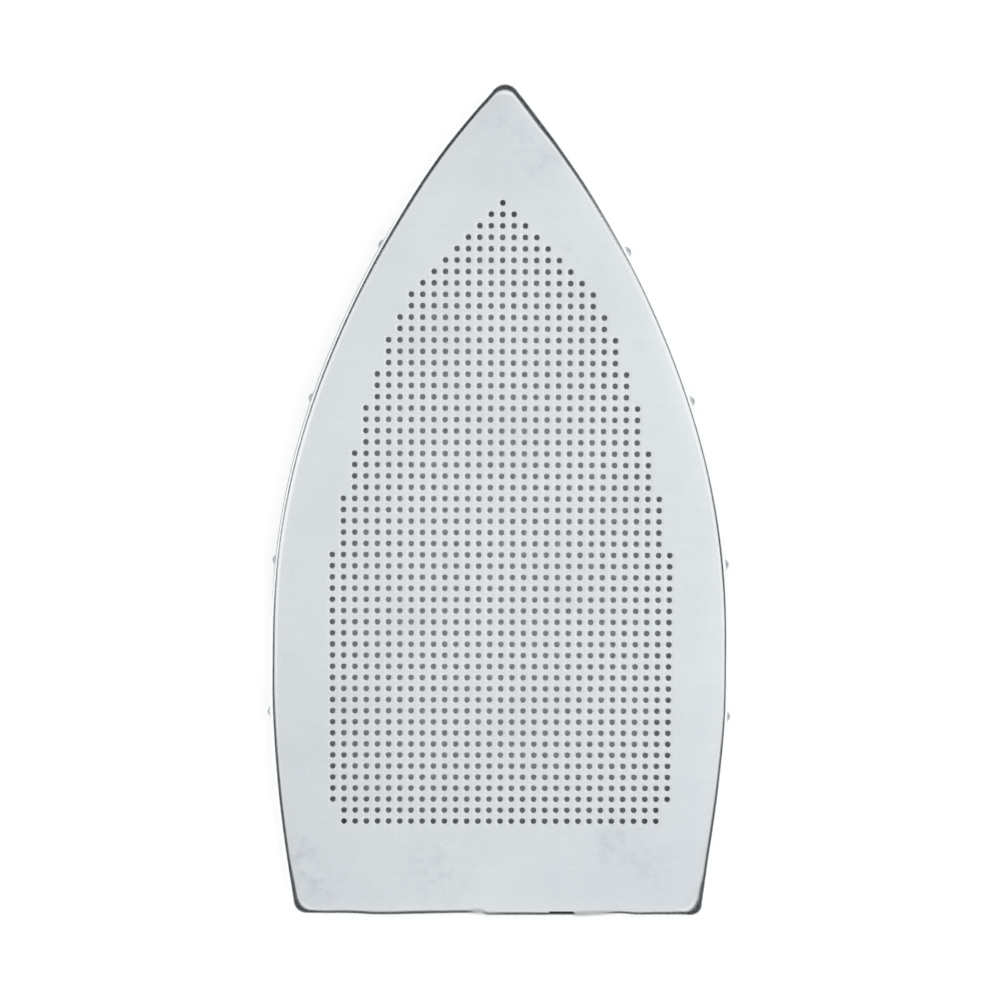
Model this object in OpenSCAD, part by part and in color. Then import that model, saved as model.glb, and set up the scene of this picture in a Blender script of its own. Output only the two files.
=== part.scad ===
// Slip-on shoe for the sole of a steam iron: one sheet of aluminium, perforated and
// pressed into a shallow tray that the iron's sole plate sits in.
// It lies with the free edge of its wall down and its sole face up.
// +X is to the right, +Y is towards the tip, and +Z is up, out of the sole face.

/* [Overall size] */
// Length over everything, from the heel to the tip
shoe_l = 223; // [190:0.5:260]
// Width over the walls at the widest place
shoe_w = 123.2; // [112:0.2:140]
// Height from the free edge of the wall to the sole face
shoe_h = 10; // [8:0.5:16]
// Thickness of the sheet
sheet_t = 0.8; // [0.5:0.05:1.2]
// Outer radius of the bend between the sole face and the wall
bend_r = 3; // [1.8:0.1:3.4]

/* [Outline] */
// Distance from the heel wall to the widest place
widest_from_heel = 69.4; // [55:0.2:85]
// Radius of the rear stretch of each side
rear_r = 356; // [250:1:500]
// Angle that the rear stretch turns past the widest place
rear_turn = 1.9; // [1:0.1:3]
// Radius of the middle stretch of each side
mid_r = 195; // [170:1:230]
// Angle that the middle stretch turns
mid_turn = 15.3; // [12:0.1:18]
// Radius of the tip
tip_r = 5.4; // [4.6:0.1:8]
// Radius of the two heel corners
corner_r = 4.5; // [3.8:0.1:9]

/* [Perforation] */
// Diameter of each hole
hole_d = 1.5; // [0.8:0.05:2]
// Distance between the centres of neighbouring holes, along and across
hole_pitch = 3; // [2.6:0.05:8]
// Bare margin between the wall and the hole field at its widest place
field_side_margin = 14.3; // [12:0.1:25]
// Distance from the heel wall to the centres of the last row of holes
field_heel_margin = 26.2; // [14:0.1:45]
// Distance from the tip to the centre of the foremost hole
field_tip_margin = 31.2; // [26:0.1:50]
// Distance from the heel wall to the widest place of the hole field
field_widest_from_heel = 64.7; // [55:0.1:80]
// Radius of the two sides of the hole field
field_r = 246; // [200:1:400]
// How far the hole field stands to the right of the centre line
field_shift = 0.35; // [-1:0.05:1]

/* [Bumps on the wall] */
// Distances of the bumps from the heel wall, the same on both sides
bump_from_heel = [55, 96.3, 139.5, 179.5]; // [30:0.1:185]
// Width of each bump where it leaves the wall
bump_w = 3.6; // [3:0.1:5]
// How far each bump stands out of the wall
bump_out = 1; // [0.9:0.05:1.4]
// Height of the bumps' centres over the free edge of the wall
bump_z = 3.8; // [2.8:0.1:4.6]

/* [Pressed-out heel catch] */
// How far the heel wall is pressed out there
catch_out = 0.6; // [0.3:0.05:1]
// Distance of its left end from the centre line
catch_left = 4.2; // [0:0.1:15]
// Distance of its right end from the centre line
catch_right = 26.8; // [24:0.1:34]
// Length of the step out to it on the left
left_ramp = 3.8; // [3.4:0.1:5]
// Length of the step back from it on the right
right_ramp = 6.4; // [4:0.1:8]
// Length of its slot
slot_l = 6.7; // [3:0.1:10]
// Width of its slot
slot_w = 0.95; // [0.5:0.05:1.2]
// Distance from the centre line to the left end of the slot
slot_from_middle = 13.7; // [4:0.1:15]
// Metal between the slot and the outer face of the catch
slot_lip = 1.2; // [1.05:0.05:1.3]

/* [Hidden] */

round_fn = 64;
hole_fn = 24;
bend_steps = 8;
over = 1;
slack = 0.01;

// Places along the length, measured from the middle of the whole
half_w = shoe_w / 2;
tip_y = shoe_l / 2;
heel_y = -shoe_l / 2 + catch_out;

// The right side's outline, at the outer face of the wall: a chain of arcs that run
// into each other smoothly, each with its centre, its radius, its two angles and the
// number of chords that it is drawn with
rear_c = [half_w - rear_r, heel_y + widest_from_heel];
turn_1 = rear_turn;
mid_c = rear_c + (rear_r - mid_r) * [cos(turn_1), sin(turn_1)];
turn_2 = turn_1 + mid_turn;
out_2 = [cos(turn_2), sin(turn_2)];
join_2 = mid_c + mid_r * out_2;
tip_c = [0, tip_y - tip_r];
to_tip = join_2 - tip_c;
front_r = (to_tip * to_tip - tip_r * tip_r) / (2 * (out_2 * to_tip - tip_r));
front_c = join_2 - front_r * out_2;
turn_3 = atan2(tip_c.y - front_c.y, tip_c.x - front_c.x);
corner_y = heel_y + corner_r;
corner_c = [
  rear_c.x + sqrt(pow(rear_r - corner_r, 2) - pow(corner_y - rear_c.y, 2)),
  corner_y
];
turn_0 = atan2(corner_c.y - rear_c.y, corner_c.x - rear_c.x);
corner_arc = [corner_c, corner_r, -90, turn_0, 8];
rear_arc = [rear_c, rear_r, turn_0, turn_1, 8];
mid_arc = [mid_c, mid_r, turn_1, turn_2, 7];
front_arc = [front_c, front_r, turn_2, turn_3, 12];
tip_arc = [tip_c, tip_r, turn_3, 180 - turn_3, 12];
side_arcs = [corner_arc, rear_arc, mid_arc, front_arc];
function mirrored(a) = [[-a[0].x, a[0].y], a[1], 180 - a[3], 180 - a[2], a[4]];

// The heel catch steps out and back in two S-curves, each of two equal arcs. The outer
// arc of each pair bends the other way, round a centre behind the heel.
function ramp_r(ramp) = (ramp * ramp + catch_out * catch_out) / (4 * catch_out);
function ramp_turn(ramp) = 2 * atan(catch_out / ramp);
left_r = ramp_r(left_ramp);
left_turn = ramp_turn(left_ramp);
right_r = ramp_r(right_ramp);
right_turn = ramp_turn(right_ramp);
catch_y = heel_y - catch_out;
catch_x0 = -catch_left;
catch_x1 = catch_x0 + left_ramp;
catch_x3 = catch_right;
catch_x2 = catch_x3 - right_ramp;
catch_arcs = [
  [[catch_x0, heel_y - left_r], -left_r, 270, 270 - left_turn, 4],
  [[catch_x1, catch_y + left_r], left_r, 270 - left_turn, 270, 4],
  [[catch_x2, catch_y + right_r], right_r, 270, 270 + right_turn, 4],
  [[catch_x3, heel_y - right_r], -right_r, 270 + right_turn, 270, 4]
];

// The whole outline, counter-clockwise from the left end of the catch, as places on the
// outer face of the wall with the direction that the wall faces there
outline_arcs = concat(
  catch_arcs,
  side_arcs,
  [tip_arc],
  [for (i = [len(side_arcs) - 1:-1:0]) mirrored(side_arcs[i])]
);
outline = [
  for (a = outline_arcs, i = [0:a[4] - (joins_next(a) ? 1 : 0)])
    let (t = a[2] + (a[3] - a[2]) * i / a[4])
      [a[0] + a[1] * [cos(t), sin(t)], [cos(t), sin(t)]]
];

// An arc's last place is left out where the next arc starts with the same one
function joins_next(a) = a[3] != 270 && a[3] != -90;
function inward(place, depth) = place[0] - depth * place[1];

// Section of the wall and the bend, as depths from the outer face of the wall and
// heights over its free edge. It ends where the sole is flat.
function bend_points(r, from, to) = [
  for (i = [0:bend_steps])
    let (t = from + (to - from) * i / bend_steps)
      [bend_r - r * cos(t), shoe_h - bend_r + r * sin(t)]
];
section = concat(
  [[0, 0]],
  bend_points(bend_r, 0, 90),
  bend_points(bend_r - sheet_t, 90, 0),
  [[sheet_t, 0]]
);

// The hole field ends at an arc on each side, at 45 degrees towards the tip, and at
// a straight last row
field_bottom = heel_y + field_heel_margin;
field_top = tip_y - field_tip_margin;
field_half = half_w - field_side_margin;
field_mid = heel_y + field_widest_from_heel;
rows = floor((field_top - field_bottom) / hole_pitch + slack) + 1;
function row_y(i) = field_bottom + i * hole_pitch;
function side_reach(y) = field_half - field_r + sqrt(pow(field_r, 2) - pow(y - field_mid, 2));
function tip_reach(y) = field_top - y;
function holes_beside(y) = floor(min(side_reach(y), tip_reach(y)) / hole_pitch + slack);

// A point of the right side's arcs at a given place along the length
function arc_at(y) =
  [for (a = side_arcs) if (y <= a[0].y + a[1] * sin(a[3]) + slack) a][0];
function angle_at(y) = let (a = arc_at(y)) asin((y - a[0].y) / a[1]);
function wall_at(y) = let (a = arc_at(y), t = angle_at(y)) a[0] + a[1] * [cos(t), sin(t)];

// The wall and the bend: the section swept once round the outline
module edge() {
  n = len(outline);
  m = len(section);
  points = [
    for (place = outline, s = section)
      let (p = inward(place, s.x)) [p.x, p.y, s.y]
  ];
  faces = [
    for (i = [0:n - 1], j = [0:m - 1])
      let (i2 = (i + 1) % n, j2 = (j + 1) % m)
        [i * m + j, i * m + j2, i2 * m + j2, i2 * m + j]
  ];
  polyhedron(points, faces);
}

module both_sides() {
  children();
  mirror([1, 0, 0]) children();
}

// Each bump is a dome outside and a hollow behind it, on spheres round the same centre.
// A sphere is turned so that the seam of its surface lies inside the tray.
bump_r = (pow(bump_w / 2, 2) + pow(bump_out, 2)) / (2 * bump_out);

module at_bumps()
  both_sides()
    for (d = bump_from_heel) {
      y = heel_y + d;
      p = wall_at(y);
      translate([p.x, p.y, bump_z]) rotate([0, 0, angle_at(y)]) children();
    }

module bump_ball(r)
  translate([bump_out - bump_r, 0, 0]) rotate([0, 0, 180]) sphere(r = r, $fn = round_fn);

module bump_dome()
  intersection() {
    bump_ball(bump_r);
    translate([-sheet_t / 2, -bump_w, -bump_w]) cube(2 * bump_w);
  }

module bump_hollow() bump_ball(bump_r - sheet_t);

module slot_cut()
  translate([slot_from_middle, catch_y + slot_lip, shoe_h - bend_r - over])
    cube([slot_l, slot_w, bend_r + 2 * over]);

module holes()
  translate([0, 0, shoe_h - sheet_t - over])
    linear_extrude(sheet_t + 2 * over)
      for (i = [0:rows - 1])
        for (k = [-holes_beside(row_y(i)):holes_beside(row_y(i))])
          translate([field_shift + k * hole_pitch, row_y(i)]) circle(d = hole_d, $fn = hole_fn);

// The flat sole, out to where the bend begins
module sole()
  translate([0, 0, shoe_h - sheet_t])
    linear_extrude(sheet_t) polygon([for (place = outline) inward(place, bend_r)]);

module perforated_shoe()
  color("silver")
    difference() {
      union() {
        union() {
          edge();
          sole();
        }
        at_bumps() bump_dome();
      }
      at_bumps() bump_hollow();
      slot_cut();
      holes();
    }

perforated_shoe();
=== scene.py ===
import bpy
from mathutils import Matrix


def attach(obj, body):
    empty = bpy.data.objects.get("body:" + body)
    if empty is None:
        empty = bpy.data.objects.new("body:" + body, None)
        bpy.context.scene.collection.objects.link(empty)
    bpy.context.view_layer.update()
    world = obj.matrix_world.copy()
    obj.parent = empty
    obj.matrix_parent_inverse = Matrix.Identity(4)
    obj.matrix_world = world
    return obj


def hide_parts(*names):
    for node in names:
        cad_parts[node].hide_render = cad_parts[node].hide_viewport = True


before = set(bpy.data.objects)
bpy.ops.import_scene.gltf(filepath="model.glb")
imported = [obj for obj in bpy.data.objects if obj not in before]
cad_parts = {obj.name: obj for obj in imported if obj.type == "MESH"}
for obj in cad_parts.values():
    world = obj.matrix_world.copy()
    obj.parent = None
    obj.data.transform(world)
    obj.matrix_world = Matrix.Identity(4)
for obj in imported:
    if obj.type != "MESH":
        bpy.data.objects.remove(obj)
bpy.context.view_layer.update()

import math

import bmesh
import bpy
from mathutils import Vector

mm = 0.001
node = "perforated_shoe"


def deselectAll():
    if bpy.context.object and bpy.context.object.mode != "OBJECT":
        bpy.ops.object.mode_set(mode="OBJECT")
    bpy.ops.object.select_all(action="DESELECT")


def makeActive(piece):
    deselectAll()
    piece.select_set(True)
    bpy.context.view_layer.objects.active = piece


def editMesh(piece):
    makeActive(piece)
    bpy.ops.object.mode_set(mode="EDIT")
    bpy.ops.mesh.select_all(action="DESELECT")
    return bmesh.from_edit_mesh(piece.data)


def joinPieces(pieces, name):
    makeActive(pieces[0])
    for piece in pieces:
        piece.select_set(True)
    bpy.ops.object.join()
    joined = bpy.context.object
    joined.name = joined.data.name = name
    return joined


def selectEdges(piece, wanted):
    mesh = editMesh(piece)
    bpy.ops.mesh.select_mode(type="EDGE")
    for seam in mesh.edges:
        seam.select_set(wanted(seam))
    bmesh.update_edit_mesh(piece.data)


def isOpenAt(height):
    return lambda seam: seam.is_boundary and all(abs(v.co.z - height) < 0.01 * mm for v in seam.verts)


def smoothStep(t):
    t = max(0.0, min(1.0, t))
    return t * t * (3 - 2 * t)


def between(a, b, t):
    return a + (b - a) * t


# A value that changes smoothly along a list of places
def along(points, place):
    if place <= points[0][0]:
        return points[0][1]
    for (start, a), (end, b) in zip(points, points[1:]):
        if place <= end:
            return between(a, b, smoothStep((place - start) / (end - start)))
    return points[-1][1]


def toLinear(hexColour):
    channels = [int(hexColour[i:i + 2], 16) / 255 for i in (1, 3, 5)]
    return [c / 12.92 if c <= 0.04045 else ((c + 0.055) / 1.055) ** 2.4 for c in channels] + [1]


def addNode(tree, kind, settings=None, links=None):
    made = tree.nodes.new(kind)
    for key, value in (settings or {}).items():
        if isinstance(key, int) or key in made.inputs:
            made.inputs[key].default_value = value
        else:
            setattr(made, key, value)
    for key, socket in (links or {}).items():
        tree.links.new(socket, made.inputs[key])
    return made


def newMaterial(name):
    material = bpy.data.materials.new(name)
    material.use_nodes = True
    material.node_tree.nodes.clear()
    return material, material.node_tree


# The camera stands where the rows of holes in the photograph say that it stood
view = {
    "place": (-5.17 * mm, 28.84 * mm, 434.59 * mm),
    "turn": (-3.6191, -0.6755, 0.2512),  # degrees
    "lens": 57.6,
    "sensor": 36.0,
    "near": 0.01,
    "far": 30.0,
}


def addCamera():
    turn = [math.radians(a) for a in view["turn"]]
    bpy.ops.object.camera_add(location=view["place"], rotation=turn)
    camera = bpy.context.object
    camera.name = "photoCamera"
    camera.data.lens = view["lens"]
    camera.data.sensor_width = view["sensor"]
    camera.data.clip_start = view["near"]
    camera.data.clip_end = view["far"]
    bpy.context.scene.camera = camera
    print("camera set")


# The outline of the wall is a chain of arcs up each side. Sizes here are in millimetres,
# and become metres where a mesh takes them.
outline = {
    "halfLength": 111.5,
    "halfWidth": 61.6,
    "heelY": -110.9,
    "widestFromHeel": 69.4,
    "rearR": 356.0,
    "rearTurn": 1.9,  # degrees
    "midR": 195.0,
    "midTurn": 15.3,  # degrees
    "frontRunsTo": 5.4,  # radius of a tip that the front arcs would run into
    "tipR": 4.6,
    "tipGrow": -0.7,
    "cornerR": {"left": 4.5, "right": 3.6},
    "cornerGrow": {"left": 1.3, "right": 2.6},  # what a corner's radius gains over the bend
    "steps": {"corner": 14, "rear": 40, "mid": 16, "front": 46, "tip": 24},
    # how far the real one is off an even shape: along Y for the sides, along X for the heel
    "tipLean": [(92, 0.0), (112, 0.65)],
    "tipOut": [(74, 0.0), (90, 0.35), (110, 0.35)],
    "wallLean": [(-100, 0.0), (0, 0.7), (75, 1.1)],  # of the free edge, to the right
    "leftOut": [(-110, 0.85), (-98, 0.35), (-55, 0.35), (-35, 0.05), (0, -0.1), (27, -0.2), (60, 0.0)],
    "rightOut": [(-110, 0.9), (-100, 0.1), (-94, 0.0), (-75, 0.1), (-58, 0.25), (-40, 0.0)],
    "heelOut": [(-58, 0.75), (-50, 0.45), (-43, 0.5), (-31, 1.0), (-22, 0.85), (-10, 0.45), (0, 0.4),
                (20, 0.3), (26, 0.6), (30, 0.4), (33, 0.35), (38, 0.75), (47, 0.85), (55, 1.1)],
}

# The wall, the bend over which the sheet was drawn, and the soft shoulder inside it
edge = {
    "height": 10.0,
    "sheet": 0.8,
    "shoulder": 4.2,
    "shoulderTilt": 5.0,  # degrees, where the shoulder runs into the bend
    "shoulderSteps": [0.0, 0.25, 0.5, 0.75, 0.93],
    "shoulderGrow": 0.4,
    "bendSteps": 12,
    "wallSteps": 10,
    "lip": 0.25,
    # the bend's radius, along Y for the sides and along X for the heel
    "left": [(-108, 3.2), (-98, 2.5), (-50, 2.8), (-25, 2.6), (25, 2.8), (60, 2.8), (106, 3.0), (109, 3.2)],
    "right": [(-108, 3.4), (-102, 2.5), (-50, 2.3), (0, 2.2), (80, 2.2), (95, 2.5), (104, 3.2)],
    "heel": [(-54, 3.3), (-47, 3.0), (-37, 3.2), (-19, 3.4), (-13, 3.1), (-8, 3.1), (0, 3.1),
             (20, 2.9), (30, 2.6), (36, 2.7), (44, 3.0), (54, 3.4)],
    # how dull the foot of the bend is (on the left, past 1, it is painted shade, a grey line along the foot), and
    # how matt the bend is where the heel steps
    "dullAndShadeLeft": [(-35, 0.0), (-15, 2.0), (70, 2.0), (85, 0.0)],
    "dullHeel": 0.8,
    "mattHeel": [(-8.5, 0.1), (-5.8, 0.9), (-4.4, 0.9), (-3.2, 0.35), (3, 0.1), (20.4, 0.1),
                 (21.2, 0.9), (26, 1.0), (32.5, 0.1)],
}

# The heel steps out to the catch and its slot
heel = {
    "catchOut": 0.6,
    "catchLeft": -5.2,
    "leftRamp": 2.6,
    "catchRight": 26.8,
    "rightRamp": 6.4,
    "evenHalf": 40.0,
    "step": 2.0,
    "slot": (13.7, 20.4),
    "slotDepth": (1.25, 2.35),
    "slotDark": [(8, 0.0), (12, -1.7), (22, -1.7), (26, 0.0)],  # painted shade, near black, on the inner face behind the slot
}

# Small domes pressed out of the wall, four on each side
bump = {
    "left": [55.0, 96.3, 139.8, 180.6],
    "right": [53.8, 95.3, 139.2, 179.0],
    "half": 1.8,
    "out": 1.2,
    "height": 4.7,
    "steps": [-1.9, -1.5, -1.1, -0.7, -0.35, 0.0, 0.35, 0.7, 1.1, 1.5, 1.9],
}

perforation = {
    "pitch": 3.0,
    "holeR": 0.75,
    "roll": 0.08,  # the punch draws the rim of each hole down a little
    "rollDrop": 0.045,
    "sides": 16,
    "heelMargin": 26.2,
    "tipMargin": 31.2,
    "sideMargin": 14.3,
    "widestFromHeel": 64.7,
    "sideR": 246.0,
    "shift": 0.35,
    "slack": 0.01,
}


def facing(angle):
    return Vector((math.cos(angle), math.sin(angle)))


rearCentre = Vector((outline["halfWidth"] - outline["rearR"], outline["heelY"] + outline["widestFromHeel"]))
turn1 = math.radians(outline["rearTurn"])
turn2 = turn1 + math.radians(outline["midTurn"])
midCentre = rearCentre + (outline["rearR"] - outline["midR"]) * facing(turn1)
join2 = midCentre + outline["midR"] * facing(turn2)
runsTo = outline["frontRunsTo"]
toTip = join2 - Vector((0, outline["halfLength"] - runsTo))
frontR = (toTip.length_squared - runsTo ** 2) / (2 * (facing(turn2).dot(toTip) - runsTo))
frontCentre = join2 - frontR * facing(turn2)
topTilt = math.radians(edge["shoulderTilt"])


# The arcs at some depth inside the wall. The share is how far over the bend that is, and
# the corners' radii grow with it.
def sideArcs(side, depth, share):
    cornerR = outline["cornerR"][side] + outline["cornerGrow"][side] * share
    tipR = outline["tipR"] + outline["tipGrow"] * share
    cornerY = outline["heelY"] + depth + cornerR
    reach = outline["rearR"] - depth - cornerR
    cornerX = rearCentre.x + math.sqrt(reach ** 2 - (cornerY - rearCentre.y) ** 2)
    turn0 = math.atan2(cornerY - rearCentre.y, cornerX - rearCentre.x)
    reach = frontR - depth - tipR
    tipY = frontCentre.y + math.sqrt(reach ** 2 - frontCentre.x ** 2)
    turn3 = math.atan2(tipY - frontCentre.y, -frontCentre.x)
    return {
        "corner": (Vector((cornerX, cornerY)), cornerR, -math.pi / 2, turn0),
        "rear": (rearCentre, outline["rearR"] - depth, turn0, turn1),
        "mid": (midCentre, outline["midR"] - depth, turn1, turn2),
        "front": (frontCentre, frontR - depth, turn2, turn3),
        "tip": (Vector((0, tipY)), tipR, turn3, math.pi - turn3),
    }


wallArcs = {side: sideArcs(side, 0, 0) for side in ("left", "right")}


def arcLength(side, name):
    centre, r, start, end = wallArcs[side][name]
    return r * (end - start)


# Each bump's arc and its share of the way along that arc
def bumpPlaces(side):
    found = []
    for d in bump[side]:
        y = outline["heelY"] + d
        for name in ("rear", "mid", "front"):
            centre, r, start, end = wallArcs[side][name]
            angle = math.asin((y - centre.y) / r)
            if start <= angle <= end:
                found.append((name, (angle - start) / (end - start)))
                break
    return found


# A place on the outline is a side, an arc and a share of the way along it. Extra places
# stand close together round each bump.
def sidePlaces(side, name):
    steps = outline["steps"][name]
    shares = [k / steps for k in range(steps)]
    for bumpArc, share in bumpPlaces(side):
        if bumpArc == name:
            near = [share + d / arcLength(side, name) for d in bump["steps"]]
            shares = [f for f in shares if f == 0 or not near[0] - 0.002 < f < near[-1] + 0.002]
            shares += [f for f in near if 0 < f < 1]
    return [(side, name, f) for f in sorted(shares)]


def heelPlaces():
    half, step = heel["evenHalf"], heel["step"]
    xs = [-half + step * k for k in range(int(2 * half / step) + 1)]
    ramps = [(heel["catchLeft"], heel["leftRamp"]), (heel["catchRight"] - heel["rightRamp"], heel["rightRamp"])]
    for start, length in ramps:
        xs = [x for x in xs if not start - 0.5 < x < start + length + 0.5]
        xs += [start + length * k / 8 for k in range(9)]
    for x in heel["slot"]:
        xs = [other for other in xs if abs(other - x) > 0.6] + [x]
    for side, sign in (("left", -1), ("right", 1)):
        xs += [sign * between(half, wallArcs[side]["corner"][0].x, k / 9) for k in range(1, 9)]
    return sorted(xs)


def allPlaces():
    names = ["corner", "rear", "mid", "front"]
    right, left = ([place for name in names for place in sidePlaces(side, name)] for side in ("right", "left"))
    tip = [("right", "tip", k / outline["steps"]["tip"]) for k in range(outline["steps"]["tip"] + 1)]
    return right + tip + left[::-1] + [("heel", "heel", x) for x in heelPlaces()]


def catchShare(x):
    left = smoothStep((x - heel["catchLeft"]) / heel["leftRamp"])
    right = smoothStep((heel["catchRight"] - x) / heel["rightRamp"])
    return min(left, right)


arcsCache = {}


def arcsAt(side, depth, share):
    key = (side, round(depth, 4), round(share, 4))
    if key not in arcsCache:
        arcsCache[key] = sideArcs(side, depth, share)
    return arcsCache[key]


# Where a place lies at some depth inside the wall's outer face, and which way it faces
def placeAt(place, depth, share):
    side, name, f = place
    if side == "heel":
        half = heel["evenHalf"]
        near = "left" if f < 0 else "right"
        cornerX = arcsAt(near, depth, share)["corner"][0].x
        spread = (cornerX - half) / (wallArcs[near]["corner"][0].x - half)
        x = f if abs(f) <= half else math.copysign(half + (abs(f) - half) * spread, f)
        y = outline["heelY"] + depth - heel["catchOut"] * catchShare(x) * (1 - smoothStep((depth - 2) / 4))
        return Vector((x, y)), Vector((0, -1))
    centre, r, start, end = arcsAt(side, depth, share)[name]
    angle = between(start, end, f)
    point, way = centre + r * facing(angle), facing(angle)
    if side == "left":
        point.x, way.x = -point.x, -way.x
    return point, way


# The bend's radius at a place
def bendAt(place):
    side, name, f = place
    if side == "heel":
        return along(edge["heel"], f)
    centre, r, start, end = wallArcs[side][name]
    return along(edge[side], centre.y + r * math.sin(between(start, end, f)))


# The section, from the end of the shoulder out over the bend and down the wall
def sectionSteps():
    steps = [("shoulder", value) for value in edge["shoulderSteps"]]
    steps += [("bend", between(topTilt, math.pi / 2, k / edge["bendSteps"])) for k in range(edge["bendSteps"] + 1)]
    steps += [("wall", k / edge["wallSteps"]) for k in range(1, edge["wallSteps"] + 1)]
    return steps


# Depth inside the wall's outer face, share of the bend, height and tilt
def sectionAt(step, place):
    kind, value = step
    bendR = bendAt(place)
    sunk = edge["shoulder"] * math.tan(topTilt) / 2
    bendTop = edge["height"] - sunk
    if kind == "shoulder":
        left, share = 1 - value, 1 - math.sin(topTilt)
        depth = bendR * share + edge["shoulder"] * left
        return depth, share + edge["shoulderGrow"] * left, edge["height"] - sunk * value ** 2, topTilt * value
    if kind == "bend":
        share = 1 - math.sin(value)
        return bendR * share, share, bendTop - bendR * (math.cos(topTilt) - math.cos(value)), value
    wallTop = bendTop - bendR * math.cos(topTilt)
    return 0.0, 0.0, between(wallTop, edge["lip"], value), math.pi / 2


def bumpOut(place, z):
    side, name, f = place
    out = 0.0
    for bumpArc, share in bumpPlaces(side) if side != "heel" else []:
        if bumpArc == name:
            away = math.hypot((f - share) * arcLength(side, name), z - bump["height"]) / bump["half"]
            if away < 1:
                out = bump["out"] * (1 - away ** 2) ** 1.2
    return out


# How bright the press has rubbed a place: 1 on the bend and the wall. Below 0 it is painted shade, on the bumps and
# along the foot of the bend on the left
def polishAndShadeAt(place, step, tilt, out):
    side, name, f = place
    dull = edge["dullHeel"] if side == "heel" else 0.0
    if side == "left":
        centre, r, start, end = wallArcs[side][name]
        dull = along(edge["dullAndShadeLeft"], centre.y + r * math.sin(between(start, end, f)))
    down = step[1] if step[0] == "wall" else 0.0
    # past 1, the left side's value paints shade along the foot of the bend, in the domes' grey
    polishAndShade = 1 - dull * smoothStep((math.degrees(tilt) - 48) / 12) * (1 - smoothStep(down / 0.4))
    # the domes are painted grey: painted shade
    polishAndShade = between(polishAndShade, -1.0, min(1.0, out / 0.3))
    return polishAndShade * smoothStep((math.degrees(tilt) - 4) / 22)


def uneven(spot):
    x, y, z = spot
    low = 1 - z / edge["height"]
    out = along(outline["rightOut" if x > 0 else "leftOut"], y) * smoothStep((abs(x) - 20) / 15)
    x += math.copysign(out, x) + along(outline["tipLean"], y) + along(outline["wallLean"], y) * low
    y -= along(outline["heelOut"], x) * (1 - smoothStep((y - outline["heelY"]) / 30))
    y += along(outline["tipOut"], y)
    return Vector((x, y, z))


# Every ring round the shoe, with its polish, painted shade and how matt it is: down the outside,
# round the free edge and up the inside
def shoeRings(places):
    outside, inside = [], []
    matt = [along(edge["mattHeel"], f) if side == "heel" else 0.0 for side, name, f in places]
    # painted shade on the inner face behind the heel's slot, carried as polish of the inner rings
    soiled = [along(heel["slotDark"], f) if side == "heel" else 0.0 for side, name, f in places]
    for step in sectionSteps():
        outer, inner, polishAndShade = [], [], []
        for place in places:
            depth, share, z, tilt = sectionAt(step, place)
            point, way = placeAt(place, depth, share)
            level = Vector((way.x, way.y, 0))
            normal = level * math.sin(tilt) + Vector((0, 0, math.cos(tilt)))
            out = bumpOut(place, z) if step[0] == "wall" else 0.0
            spot = Vector((point.x, point.y, z)) + level * out
            outer.append(uneven(spot))
            inner.append(uneven(spot - normal * edge["sheet"]))
            polishAndShade.append(polishAndShadeAt(place, step, tilt, out))
        rough = [value * smoothStep((tilt - topTilt) / math.radians(10)) for value in matt]
        outside.append((outer, polishAndShade, rough))
        inside.append((inner, soiled, matt))
    lip, sheet = edge["lip"], edge["sheet"]
    lips = []
    for angle in (30, 60, 90, 90, 60, 30):
        turn = math.radians(angle)
        depth = lip * (1 - math.cos(turn))
        depth = sheet - depth if len(lips) > 2 else depth
        ring = []
        for place in places:
            point, way = placeAt(place, 0, 0)
            point -= way * depth
            ring.append(uneven(Vector((point.x, point.y, lip * (1 - math.sin(turn))))))
        lips.append((ring, soiled, matt))
    return outside + lips + inside[::-1]


def placeRing(rim, ring):
    spots, polishAndShade, matt = ring
    mesh = bmesh.from_edit_mesh(rim.data)
    layers = mesh.verts.layers
    for v in mesh.verts:
        if v.select:
            k = v[layers.int["order"]]
            v.co = spots[k] * mm
            v[layers.float["polishAndShade"]], v[layers.float["matt"]] = polishAndShade[k], matt[k]
    bmesh.update_edit_mesh(rim.data)


def makeRim():
    places = allPlaces()
    rings = shoeRings(places)
    bpy.ops.mesh.primitive_circle_add(vertices=len(places), radius=outline["halfWidth"] * mm)
    rim = bpy.context.object
    mesh = editMesh(rim)
    mesh.verts.layers.int.new("order")
    mesh.verts.layers.float.new("polishAndShade")
    mesh.verts.layers.float.new("matt")
    mesh.verts.ensure_lookup_table()
    for k, v in enumerate(mesh.verts):
        v[mesh.verts.layers.int["order"]] = k
    bmesh.update_edit_mesh(rim.data)
    bpy.ops.mesh.select_all(action="SELECT")
    placeRing(rim, rings[0])
    for ring in rings[1:]:
        bpy.ops.mesh.extrude_edges_move()
        placeRing(rim, ring)
    cutSlot(rim, len(places), len(rings))
    bpy.ops.object.mode_set(mode="OBJECT")
    print("rim made,", len(places), "places,", len(rings), "rings")
    return rim


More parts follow.
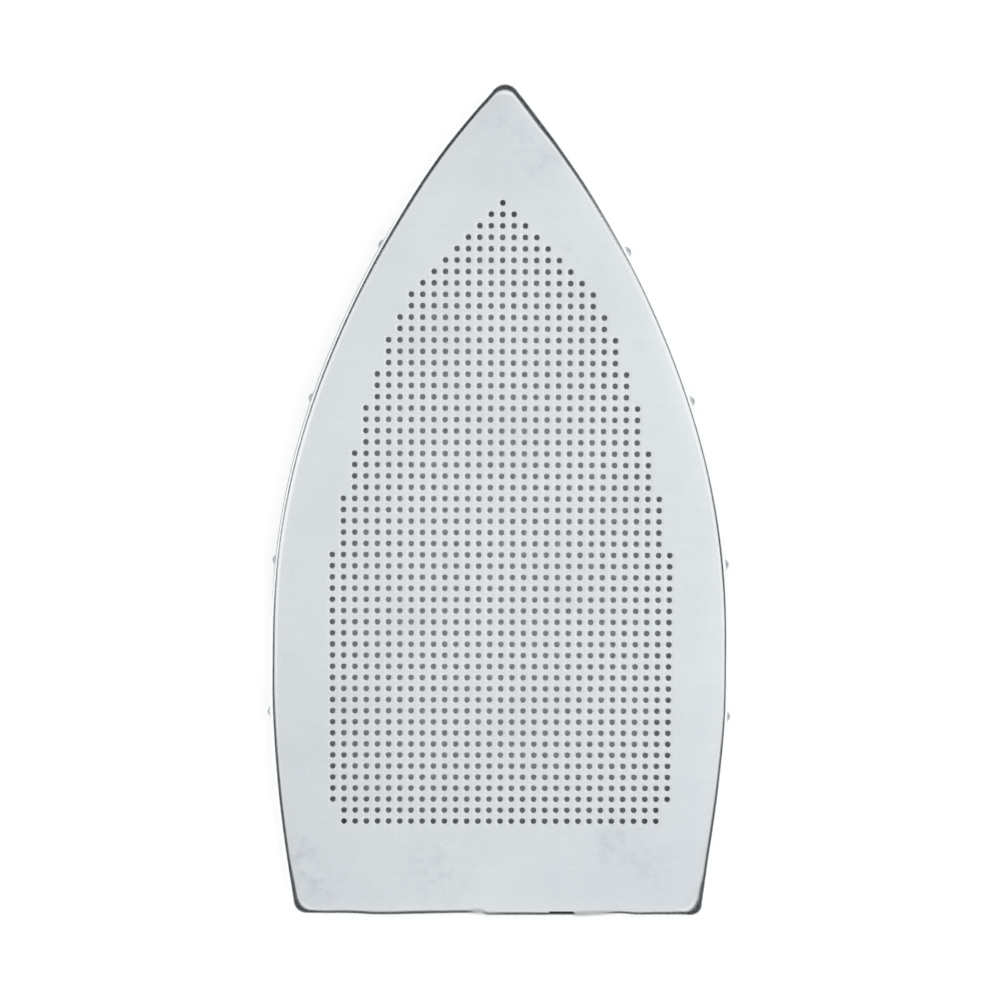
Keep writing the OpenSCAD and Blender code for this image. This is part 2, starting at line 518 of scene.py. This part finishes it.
# The catch's slot: its faces come out of both sides of the sheet, and the rims are bridged
def cutSlot(rim, n, count):
    left, right = heel["slot"]
    near, far = heel["slotDepth"]
    middle = ("heel", "heel", (left + right) / 2)
    depths = [sectionAt(step, middle)[0] for step in sectionSteps()]
    first = min(range(len(depths)), key=lambda k: abs(depths[k] - far))
    last = min(range(len(depths)), key=lambda k: abs(depths[k] - near))
    mesh = bmesh.from_edit_mesh(rim.data)
    mesh.verts.ensure_lookup_table()
    outer = {k * n + j for k in range(first, last + 1) for j in range(n)}
    inner = {(count - 1 - k) * n + j for k in range(first, last + 1) for j in range(n)}

    def inSlot(face):
        xs = [v.co.x / mm for v in face.verts]
        y = face.calc_center_median().y / mm
        return left - 0.3 < min(xs) and max(xs) < right + 0.3 and y < outline["heelY"] + 4

    bpy.ops.mesh.select_all(action="DESELECT")
    bpy.ops.mesh.select_mode(type="FACE")
    for face in mesh.faces:
        ids = {v.index for v in face.verts}
        face.select_set((ids <= outer or ids <= inner) and inSlot(face))
    bmesh.update_edit_mesh(rim.data)
    bpy.ops.mesh.delete(type="FACE")
    mesh = bmesh.from_edit_mesh(rim.data)
    bpy.ops.mesh.select_mode(type="EDGE")
    for seam in mesh.edges:
        spots = [v.co / mm for v in seam.verts]
        slot = all(left - 0.5 < p.x < right + 0.5 and p.y < outline["heelY"] + 3.5 for p in spots)
        seam.select_set(seam.is_boundary and slot)
    bmesh.update_edit_mesh(rim.data)
    bpy.ops.mesh.bridge_edge_loops()


# The perforated field: one cell with its hole, repeated row by row
def makeCell():
    h, sheet, pitch = edge["height"] * mm, edge["sheet"] * mm, perforation["pitch"] * mm
    holeR, roll = perforation["holeR"] * mm, perforation["roll"] * mm
    bpy.ops.mesh.primitive_circle_add(vertices=perforation["sides"], radius=holeR + roll, location=(0, 0, h))
    hole = bpy.context.object
    bpy.ops.object.transform_apply(location=True)
    editMesh(hole)
    bpy.ops.mesh.select_all(action="SELECT")
    inwards = holeR / (holeR + roll)
    bpy.ops.mesh.extrude_edges_move()
    bpy.ops.transform.resize(value=(inwards, inwards, 1))
    bpy.ops.transform.translate(value=(0, 0, -perforation["rollDrop"] * mm))
    bpy.ops.mesh.extrude_edges_move()
    bpy.ops.transform.translate(value=(0, 0, perforation["rollDrop"] * mm - sheet))
    bpy.ops.object.mode_set(mode="OBJECT")
    squares = []
    for z in (h, h - sheet):
        bpy.ops.mesh.primitive_plane_add(size=pitch, location=(0, 0, z))
        bpy.ops.object.transform_apply(location=True)
        square = bpy.context.object
        editMesh(square)
        bpy.ops.mesh.select_all(action="SELECT")
        bpy.ops.mesh.delete(type="ONLY_FACE")
        bpy.ops.object.mode_set(mode="OBJECT")
        squares.append(square)
    cell = joinPieces([hole] + squares, "cell")
    for z in (h, h - sheet):
        selectEdges(cell, lambda seam: len(seam.link_faces) < 2 and all(abs(v.co.z - z) < 1e-6 for v in seam.verts))
        bpy.ops.mesh.fill(use_beauty=True)
    bpy.ops.object.mode_set(mode="OBJECT")
    return cell


def holesBeside(y, fieldTop):
    size = perforation
    half = outline["halfWidth"] - size["sideMargin"]
    middle = outline["heelY"] + size["widestFromHeel"]
    side = half - size["sideR"] + math.sqrt(size["sideR"] ** 2 - (y - middle) ** 2)
    return math.floor(min(side, fieldTop - y) / size["pitch"] + size["slack"])


def makeField():
    size = perforation
    cell = makeCell()
    bottom = outline["heelY"] + size["heelMargin"]
    top = outline["halfLength"] - size["tipMargin"]
    rows = math.floor((top - bottom) / size["pitch"] + size["slack"]) + 1
    strips = []
    for row in range(rows):
        y = bottom + row * size["pitch"]
        beside = holesBeside(y, top)
        makeActive(cell)
        bpy.ops.object.duplicate()
        strip = bpy.context.object
        bpy.ops.transform.translate(value=((size["shift"] - beside * size["pitch"]) * mm, y * mm, 0))
        bpy.ops.object.transform_apply(location=True)
        repeat = strip.modifiers.new("repeat", "ARRAY")
        repeat.count = 2 * beside + 1
        repeat.use_relative_offset = False
        repeat.use_constant_offset = True
        repeat.constant_offset_displace = (size["pitch"] * mm, 0, 0)
        bpy.ops.object.modifier_apply(modifier=repeat.name)
        strips.append(strip)
    bpy.data.objects.remove(cell)
    field = joinPieces(strips, "field")
    editMesh(field)
    bpy.ops.mesh.select_all(action="SELECT")
    bpy.ops.mesh.remove_doubles(threshold=0.005 * mm)
    bpy.ops.object.mode_set(mode="OBJECT")
    print("field made,", rows, "rows")
    return field


def makeShoe():
    shoe = joinPieces([makeRim(), makeField()], "pressedShoe")
    for height in (edge["height"], edge["height"] - edge["sheet"]):
        selectEdges(shoe, isOpenAt(height * mm))
        bpy.ops.mesh.fill(use_beauty=True)
    bpy.ops.mesh.select_mode(type="VERT")
    bpy.ops.mesh.select_all(action="SELECT")
    bpy.ops.mesh.normals_make_consistent(inside=False)
    bpy.ops.object.mode_set(mode="OBJECT")
    makeActive(shoe)
    bpy.ops.object.shade_smooth_by_angle(angle=math.radians(30))
    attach(shoe, "root")
    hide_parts(node)
    print("shoe made,", sum(len(face.vertices) - 2 for face in shoe.data.polygons), "triangles")
    return shoe


# Bare aluminium sheet, cold rolled and then handled: it mirrors broadly and dully, with fine
# streaks across the shoe from the rolls, a grain, and grey smudges with scratches in them
# Painted shade darkens wide areas of the face, the domes, the foot of the bend on the left and the inner face
# behind the heel's slot.
aluminium = {
    # the colour of dulled metal, also used for the wide areas of painted shade
    "bare": "#d9dee1",
    "dull": "#b2b7bd",
    "bright": "#f6f8f9",  # clean metal, on the bend and the wall
    # painted shade: the grey of the domes, of the foot of the bend on the left and of the inner face behind the
    # slot
    "bump": "#a8adb1",
    "soiled": "#4c5154",
    # painted shade: near black, on the inner face behind the heel's slot
    "inside": "#e6eaec",
    "roughness": 0.3,
    "polishedBy": 0.08,
    "mattBy": 0.35,
    "grain": 0.00035,  # in metres
    "streak": (0.04, 0.0008),
    "cloud": 0.018,
    "smudge": 0.003,
    "scratch": (0.008, 0.0003),
    "weights": {"grain": 0.16, "streak": 0.06, "cloud": 0.1},
    # place and reach in millimetres, and strength: smudges first, and then wide areas of painted shade, at the
    # lower left, near the tip and at the heel's right
    "smudges": [(-1, 103, 9, 0.3), (10, 95, 13, 0.35), (-40, 57, 6, 0.2), (-57, -41, 7, 0.2), (-54, -93, 8, 0.6),
                (-49, -102, 10, 0.6), (-15, -98, 13, 0.5), (31, -91, 9, 0.4), (41, -97, 10, 0.3),
                (54, -106, 6, 0.3), (46, -5, 6, 0.2), (18, 67, 5, 0.3), (34, 43, 6, 0.2), (20, -20, 16, 0.15)],
    "shadedAreas": [(-60, -90, 100, 0.16), (0, 110, 45, 0.16), (50, -100, 70, 0.16)],
}


def aluminiumSheet():
    material, tree = newMaterial("rolledAluminiumSheet")
    place = addNode(tree, "ShaderNodeTexCoord").outputs["Object"]

    def pattern(size, low, high, turn=0.0, detail=3.0, top=1.0):
        long, fine = size if isinstance(size, tuple) else (size, size)
        turned = addNode(
            tree, "ShaderNodeMapping",
            {"vector_type": "TEXTURE", "Scale": (long, fine, fine), "Rotation": (0, 0, math.radians(turn))},
            {"Vector": place},
        )
        noise = addNode(tree, "ShaderNodeTexNoise", {"Scale": 1.0, "Detail": detail}, {"Vector": turned.outputs[0]})
        shaped = addNode(
            tree, "ShaderNodeMapRange", {"From Min": low, "From Max": high, "To Max": top},
            {"Value": noise.outputs[0]},
        )
        return shaped.outputs[0]

    def areas(spots, everywhere):
        total = None
        for x, y, reach, strength in spots:
            spot = (x * mm, y * mm, edge["height"] * mm)
            away = addNode(tree, "ShaderNodeVectorMath", {"operation": "DISTANCE", 1: spot}, {0: place})
            mark = addNode(
                tree, "ShaderNodeMapRange",
                {"interpolation_type": "SMOOTHSTEP", "From Max": reach * mm, "To Min": strength, "To Max": 0.0},
                {"Value": away.outputs["Value"]},
            )
            links = {0: mark.outputs[0]} if total is None else {0: mark.outputs[0], 1: total}
            total = addNode(tree, "ShaderNodeMath", {"operation": "ADD", 1: everywhere}, links).outputs[0]
        return total

    grain = pattern(aluminium["grain"], 0.3, 0.7, detail=2.0)
    streaks = pattern(aluminium["streak"], 0.3, 0.7)
    clouds = pattern(aluminium["cloud"], 0.4, 0.7)
    patches = pattern(aluminium["smudge"], 0.42, 0.85)
    scratches = pattern(aluminium["scratch"], 0.66, 0.8, turn=-55.0, detail=0.0, top=0.4)
    marks = addNode(tree, "ShaderNodeMath", {"operation": "MAXIMUM"}, {0: patches, 1: scratches}).outputs[0]
    # smudges, scratches, grain, streaks and clouds are the metal's own marks; the wide areas add painted shade to
    # the colour and a little roughness
    dullnessAndShade = addNode(
        tree, "ShaderNodeMath", {"operation": "MULTIPLY_ADD"},
        {0: marks, 1: areas(aluminium["smudges"], 0.03), 2: areas(aluminium["shadedAreas"], 0.0)},
    ).outputs[0]
    for name, value in (("grain", grain), ("streak", streaks), ("cloud", clouds)):
        dullnessAndShade = addNode(
            tree, "ShaderNodeMath", {"operation": "MULTIPLY_ADD", 1: aluminium["weights"][name]},
            {0: value, 2: dullnessAndShade},
        ).outputs[0]

    polishAndShade = addNode(tree, "ShaderNodeAttribute", {"attribute_name": "polishAndShade"}).outputs["Fac"]
    # painted shade where the attribute drops below 0: the domes, the foot of the bend on the left, and behind the
    # slot
    paintedShade = addNode(tree, "ShaderNodeMath", {"operation": "MULTIPLY", 1: -1.0}, {0: polishAndShade}).outputs[0]
    height = addNode(tree, "ShaderNodeSeparateXYZ", links={0: place}).outputs["Z"]
    inside = addNode(
        tree, "ShaderNodeMapRange", {"From Min": 9.7 * mm, "From Max": 9.3 * mm}, {"Value": height}
    ).outputs[0]
    colour = None
    # painted shade, near black, on the inner face behind the heel's slot
    slotShadeFactor = addNode(tree, "ShaderNodeMath", {"operation": "SUBTRACT", 1: 1.0}, {0: paintedShade}).outputs[0]
    steps = (("dull", dullnessAndShade), ("inside", inside), ("bright", polishAndShade), ("bump", paintedShade), ("soiled", slotShadeFactor))
    for name, factor in steps:
        links = {0: factor} if colour is None else {0: factor, 6: colour}
        colour = addNode(
            tree, "ShaderNodeMix",
            {"data_type": "RGBA", 6: toLinear(aluminium["bare"]), 7: toLinear(aluminium[name])}, links,
        ).outputs[2]

    rough = addNode(
        tree, "ShaderNodeMath", {"operation": "MULTIPLY_ADD", 1: 0.06, 2: aluminium["roughness"]}, {0: dullnessAndShade}
    ).outputs[0]
    shine = addNode(tree, "ShaderNodeMath", {"operation": "MAXIMUM", 1: -1.0}, {0: polishAndShade}).outputs[0]
    rough = addNode(
        tree, "ShaderNodeMath", {"operation": "MULTIPLY_ADD", 1: -aluminium["polishedBy"]}, {0: shine, 2: rough}
    ).outputs[0]
    matt = addNode(tree, "ShaderNodeAttribute", {"attribute_name": "matt"}).outputs["Fac"]
    rough = addNode(
        tree, "ShaderNodeMath", {"operation": "MULTIPLY_ADD", 1: aluminium["mattBy"]}, {0: matt, 2: rough}
    ).outputs[0]
    relief = addNode(tree, "ShaderNodeBump", {"Strength": 0.04, "Distance": 0.0001}, {"Height": streaks})
    metal = addNode(
        tree, "ShaderNodeBsdfPrincipled", {"Metallic": 1.0},
        {"Base Color": colour, "Roughness": rough, "Normal": relief.outputs[0]},
    )
    addNode(tree, "ShaderNodeOutputMaterial", links={"Surface": metal.outputs[0]})
    print("metal made")
    return material


studio = {
    "floor": "#fefefe",
    "floorHalf": 6.0,
    "light": 1.02,
    "rightGain": 0.13,  # the light is a little stronger on the right
    "endLoss": 0.05,  # and weaker towards the tip and the heel
    # bright panels round the shoe draw the light line inside its edge
    "panels": {"left": 0.08, "right": 0.1, "ends": 0.14},
    "flag": "#03141c",
    "flagFar": 3.0,
    # how high the flags stand, in degrees above the horizon, by the direction from the shoe
    "flagTops": [(-90, 38), (-78, 38), (-45, 52), (-20, 36), (-12, 22), (-7, 25), (-4, 32), (-2, 36), (1, 31),
                 (3, 34), (5, 29), (7, 22), (9, 22), (14, 17), (18, 20), (23, 15), (26, 30), (28, 15),
                 (31, 11), (33, 20), (36, 46), (90, 46), (142, 48), (146, 48), (150, 31), (153, 30),
                 (160, 28), (163, 23), (165, 17), (169, 14), (172, 24), (175, 19), (177, 13), (181, 12),
                 (185, 33), (189, 26), (200, 40), (225, 50), (245, 42), (257, 38), (270, 38)],
}


def addFloor():
    bpy.ops.mesh.primitive_plane_add(size=2 * studio["floorHalf"])
    floor = bpy.context.object
    floor.name = "floor"
    material, tree = newMaterial("mattWhiteTable")
    matt = addNode(tree, "ShaderNodeBsdfDiffuse", {"Color": toLinear(studio["floor"])})
    addNode(tree, "ShaderNodeOutputMaterial", links={"Surface": matt.outputs[0]})
    floor.data.materials.append(material)


# Black flags stand round the shoe, as a photographer sets them to draw the edge of a metal
# part. Only the metal's gloss sees them, and they take no light from the floor.
def addFlags():
    far = studio["flagFar"]
    bpy.ops.mesh.primitive_cylinder_add(
        vertices=360, radius=far, depth=1, end_fill_type="NOTHING", location=(0, 0, 0.5)
    )
    flags = bpy.context.object
    flags.name = "flags"
    bpy.ops.object.transform_apply(location=True)
    mesh = editMesh(flags)
    for v in mesh.verts:
        way = math.degrees(math.atan2(v.co.y, v.co.x))
        way = way + 360 if way < -90 else way
        v.co.z = far * math.tan(math.radians(along(studio["flagTops"], way))) if v.co.z > 0.5 else 0.001
    bmesh.update_edit_mesh(flags.data)
    bpy.ops.object.mode_set(mode="OBJECT")
    material, tree = newMaterial("blackFlag")
    path = addNode(tree, "ShaderNodeLightPath")
    matt = addNode(tree, "ShaderNodeBsdfDiffuse", {"Color": toLinear(studio["flag"])})
    clear = addNode(tree, "ShaderNodeBsdfTransparent")
    bounced = addNode(
        tree, "ShaderNodeMath", {"operation": "GREATER_THAN", 1: 0.5}, {0: path.outputs["Diffuse Depth"]}
    )
    either = addNode(
        tree, "ShaderNodeMixShader", links={0: bounced.outputs[0], 1: matt.outputs[0], 2: clear.outputs[0]}
    )
    addNode(tree, "ShaderNodeOutputMaterial", links={"Surface": either.outputs[0]})
    flags.data.materials.append(material)
    flags.visible_camera = flags.visible_diffuse = flags.visible_transmission = flags.visible_shadow = False


def addLight():
    world = bpy.data.worlds.new("studioLight")
    bpy.context.scene.world = world
    world.use_nodes = True
    tree = world.node_tree
    tree.nodes.clear()
    way = addNode(tree, "ShaderNodeTexCoord").outputs["Generated"]
    parts = addNode(tree, "ShaderNodeSeparateXYZ", links={0: way})
    x, y = parts.outputs["X"], parts.outputs["Y"]
    ends = addNode(tree, "ShaderNodeMath", {"operation": "ABSOLUTE"}, {0: y}).outputs[0]

    def ramp(value, low, high, gain):
        made = addNode(
            tree, "ShaderNodeMapRange",
            {"interpolation_type": "SMOOTHSTEP", "From Min": low, "From Max": high, "To Max": gain},
            {"Value": value},
        )
        return made.outputs[0]

    panels = studio["panels"]
    gains = [
        ramp(x, 0.0, 0.15, studio["rightGain"]),
        ramp(x, 0.37, 0.57, -studio["rightGain"]),
        ramp(ends, 0.1, 0.28, -studio["endLoss"]),
        ramp(ends, 0.34, 0.5, studio["endLoss"] + panels["ends"]),
        ramp(ends, 0.7, 0.85, -panels["ends"]),
        ramp(x, 0.18, 0.36, panels["right"]),
        ramp(x, 0.6, 0.75, -panels["right"]),
        ramp(x, -0.2, -0.36, panels["left"]),
        ramp(x, -0.7, -0.85, -panels["left"]),
    ]
    total = None
    for gain in gains:
        links = {0: gain} if total is None else {0: gain, 1: total}
        total = addNode(tree, "ShaderNodeMath", {"operation": "ADD", 1: studio["light"]}, links).outputs[0]
    glow = addNode(tree, "ShaderNodeBackground", {"Color": (1, 1, 1, 1)}, {"Strength": total})
    addNode(tree, "ShaderNodeOutputWorld", links={"Surface": glow.outputs[0]})
    print("studio lit")


addCamera()
deselectAll()
shoe = makeShoe()
shoe.data.materials.clear()
shoe.data.materials.append(aluminiumSheet())
addFloor()
addFlags()
addLight()
bpy.context.scene.view_settings.view_transform = "Standard"
